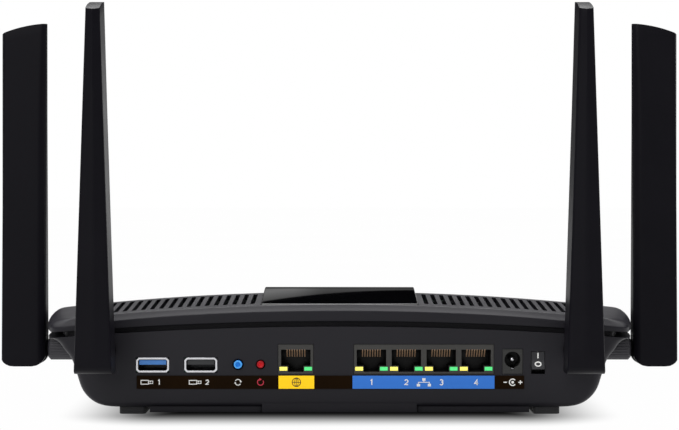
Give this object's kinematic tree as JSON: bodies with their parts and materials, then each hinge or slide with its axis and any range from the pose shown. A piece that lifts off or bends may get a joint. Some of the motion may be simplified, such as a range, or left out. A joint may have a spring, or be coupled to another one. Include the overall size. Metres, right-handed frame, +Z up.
{
  "type": "wireless router",
  "caption": "Low desktop wireless router with a row of rear sockets, rear buttons and a rocker, and tall blade antennas that swivel and tilt.",
  "frame": {"origin": "on the table, midway between the outermost faces in X and in Y", "axes": "+X towards the power switch end, +Y from the rear panel to the front, +Z up"},
  "size_m": [0.2874, 0.2142, 0.1639],
  "materials": {
    "housing_plastic": "fine satin texture",
    "lid_plastic": "fine satin texture",
    "gloss_panel": "polished",
    "lens": "clear diffused",
    "label_black": "satin printed film",
    "label_yellow": "satin printed film",
    "label_blue": "satin printed film",
    "foot_rubber": "matt",
    "screw_steel": "plated",
    "circuit_board": "solder mask",
    "tinned_steel": "tinned",
    "heatsink_alloy": "extruded",
    "thermal_pad": "soft",
    "jack_plastic": "moulded",
    "gold_contact": "gold plated",
    "led_yellow": "lit lens",
    "led_green": "lit lens",
    "port_shell": "nickel plated",
    "usb_blue": "moulded",
    "usb_dark": "moulded",
    "dc_plastic": "moulded",
    "switch_plastic": "moulded",
    "button_blue": "moulded",
    "button_red": "moulded",
    "connector_brass": "gold plated",
    "lead_jacket": "smooth jacket",
    "collar_plastic": "knurled",
    "antenna_plastic": "fine satin texture",
    "hinge_steel": "drawn"
  },
  "bodies": {
    "body": {"bottom_housing": "housing_plastic", "top_cover": "lid_plastic", "center_inlay": "gloss_panel", "status_lens": "lens", "port_label_strip": "label_black", "internet_label": "label_yellow", "ethernet_label": "label_blue", "rubber_feet": "foot_rubber", "case_screws": "screw_steel", "main_board": "circuit_board", "board_screws": "screw_steel", "shield_cans": "tinned_steel", "heatsink": "heatsink_alloy", "thermal_pads": "thermal_pad", "internet_jack": "jack_plastic", "ethernet_jack_block": "jack_plastic", "network_contacts": "gold_contact", "link_leds_yellow": "led_yellow", "link_leds_green": "led_green", "usb3_shell": "port_shell", "usb3_tongue": "usb_blue", "usb2_shell": "port_shell", "usb2_tongue": "usb_dark", "usb_contacts": "gold_contact", "dc_jack": "dc_plastic", "dc_jack_pin": "port_shell", "dc_jack_spring": "port_shell", "power_switch_housing": "switch_plastic", "tact_switches": "switch_plastic", "antenna_sockets": "connector_brass", "socket_nuts": "screw_steel", "coax_leads": "lead_jacket"},
    "rocker": {"power_rocker": "switch_plastic"},
    "pairing_cap": {"pairing_button": "button_blue"},
    "reset_cap": {"reset_button": "button_red"},
    "rear_left_ring": {"rear_left_collar": "collar_plastic"},
    "rear_left_neck": {"rear_left_elbow": "antenna_plastic"},
    "rear_left_blade": {"rear_left_hinge_pin": "hinge_steel", "rear_left_shell": "antenna_plastic", "rear_left_cover": "antenna_plastic", "rear_left_radiator": "circuit_board"},
    "rear_right_ring": {"rear_right_collar": "collar_plastic"},
    "rear_right_neck": {"rear_right_elbow": "antenna_plastic"},
    "rear_right_blade": {"rear_right_hinge_pin": "hinge_steel", "rear_right_shell": "antenna_plastic", "rear_right_cover": "antenna_plastic", "rear_right_radiator": "circuit_board"},
    "side_left_ring": {"side_left_collar": "collar_plastic"},
    "side_left_neck": {"side_left_elbow": "antenna_plastic"},
    "side_left_blade": {"side_left_hinge_pin": "hinge_steel", "side_left_shell": "antenna_plastic", "side_left_cover": "antenna_plastic", "side_left_radiator": "circuit_board"},
    "side_right_ring": {"side_right_collar": "collar_plastic"},
    "side_right_neck": {"side_right_elbow": "antenna_plastic"},
    "side_right_blade": {"side_right_hinge_pin": "hinge_steel", "side_right_shell": "antenna_plastic", "side_right_cover": "antenna_plastic", "side_right_radiator": "circuit_board"}
  },
  "joints": [
    {"name": "power_rock", "type": "hinge", "parent": "body", "child": "rocker", "pos_m": [0.07945, -0.07335, 0.02105], "axis": [1, 0, 0], "range_deg": [0, 16]},
    {"name": "pairing_press", "type": "slide", "parent": "body", "child": "pairing_cap", "axis": [0, 1, 0], "range_m": [0, 0.0007], "stiffness_N_per_m": 1500},
    {"name": "reset_press", "type": "slide", "parent": "body", "child": "reset_cap", "axis": [0, 1, 0], "range_m": [0, 0.0007], "stiffness_N_per_m": 1500},
    {"name": "rear_left_collar_turn", "type": "hinge", "parent": "body", "child": "rear_left_ring", "pos_m": [-0.0952, -0.07695, 0.0258], "axis": [0, -1, 0], "continuous": true},
    {"name": "rear_left_swivel", "type": "hinge", "parent": "body", "child": "rear_left_neck", "pos_m": [-0.0952, -0.07695, 0.0258], "axis": [0, -1, 0], "range_deg": [-30, 90]},
    {"name": "rear_left_tilt", "type": "hinge", "parent": "rear_left_neck", "child": "rear_left_blade", "pos_m": [-0.0952, -0.0975, 0.0258], "axis": [1, 0, 0], "range_deg": [0, 90]},
    {"name": "rear_right_collar_turn", "type": "hinge", "parent": "body", "child": "rear_right_ring", "pos_m": [0.0952, -0.07695, 0.0258], "axis": [0, -1, 0], "continuous": true},
    {"name": "rear_right_swivel", "type": "hinge", "parent": "body", "child": "rear_right_neck", "pos_m": [0.0952, -0.07695, 0.0258], "axis": [0, 1, 0], "range_deg": [-30, 90]},
    {"name": "rear_right_tilt", "type": "hinge", "parent": "rear_right_neck", "child": "rear_right_blade", "pos_m": [0.0952, -0.0975, 0.0258], "axis": [1, 0, 0], "range_deg": [0, 90]},
    {"name": "side_left_collar_turn", "type": "hinge", "parent": "body", "child": "side_left_ring", "pos_m": [-0.1136, -0.02595, 0.0225], "axis": [-1, 0, 0], "continuous": true},
    {"name": "side_left_swivel", "type": "hinge", "parent": "body", "child": "side_left_neck", "pos_m": [-0.1136, -0.02595, 0.0225], "axis": [-1, 0, 0], "range_deg": [-20, 90]},
    {"name": "side_left_tilt", "type": "hinge", "parent": "side_left_neck", "child": "side_left_blade", "pos_m": [-0.13415, -0.02595, 0.0225], "axis": [0, -1, 0], "range_deg": [0, 90]},
    {"name": "side_right_collar_turn", "type": "hinge", "parent": "body", "child": "side_right_ring", "pos_m": [0.1136, -0.02595, 0.0225], "axis": [1, 0, 0], "continuous": true},
    {"name": "side_right_swivel", "type": "hinge", "parent": "body", "child": "side_right_neck", "pos_m": [0.1136, -0.02595, 0.0225], "axis": [-1, 0, 0], "range_deg": [-20, 90]},
    {"name": "side_right_tilt", "type": "hinge", "parent": "side_right_neck", "child": "side_right_blade", "pos_m": [0.13415, -0.02595, 0.0225], "axis": [0, 1, 0], "range_deg": [0, 90]}
  ]
}
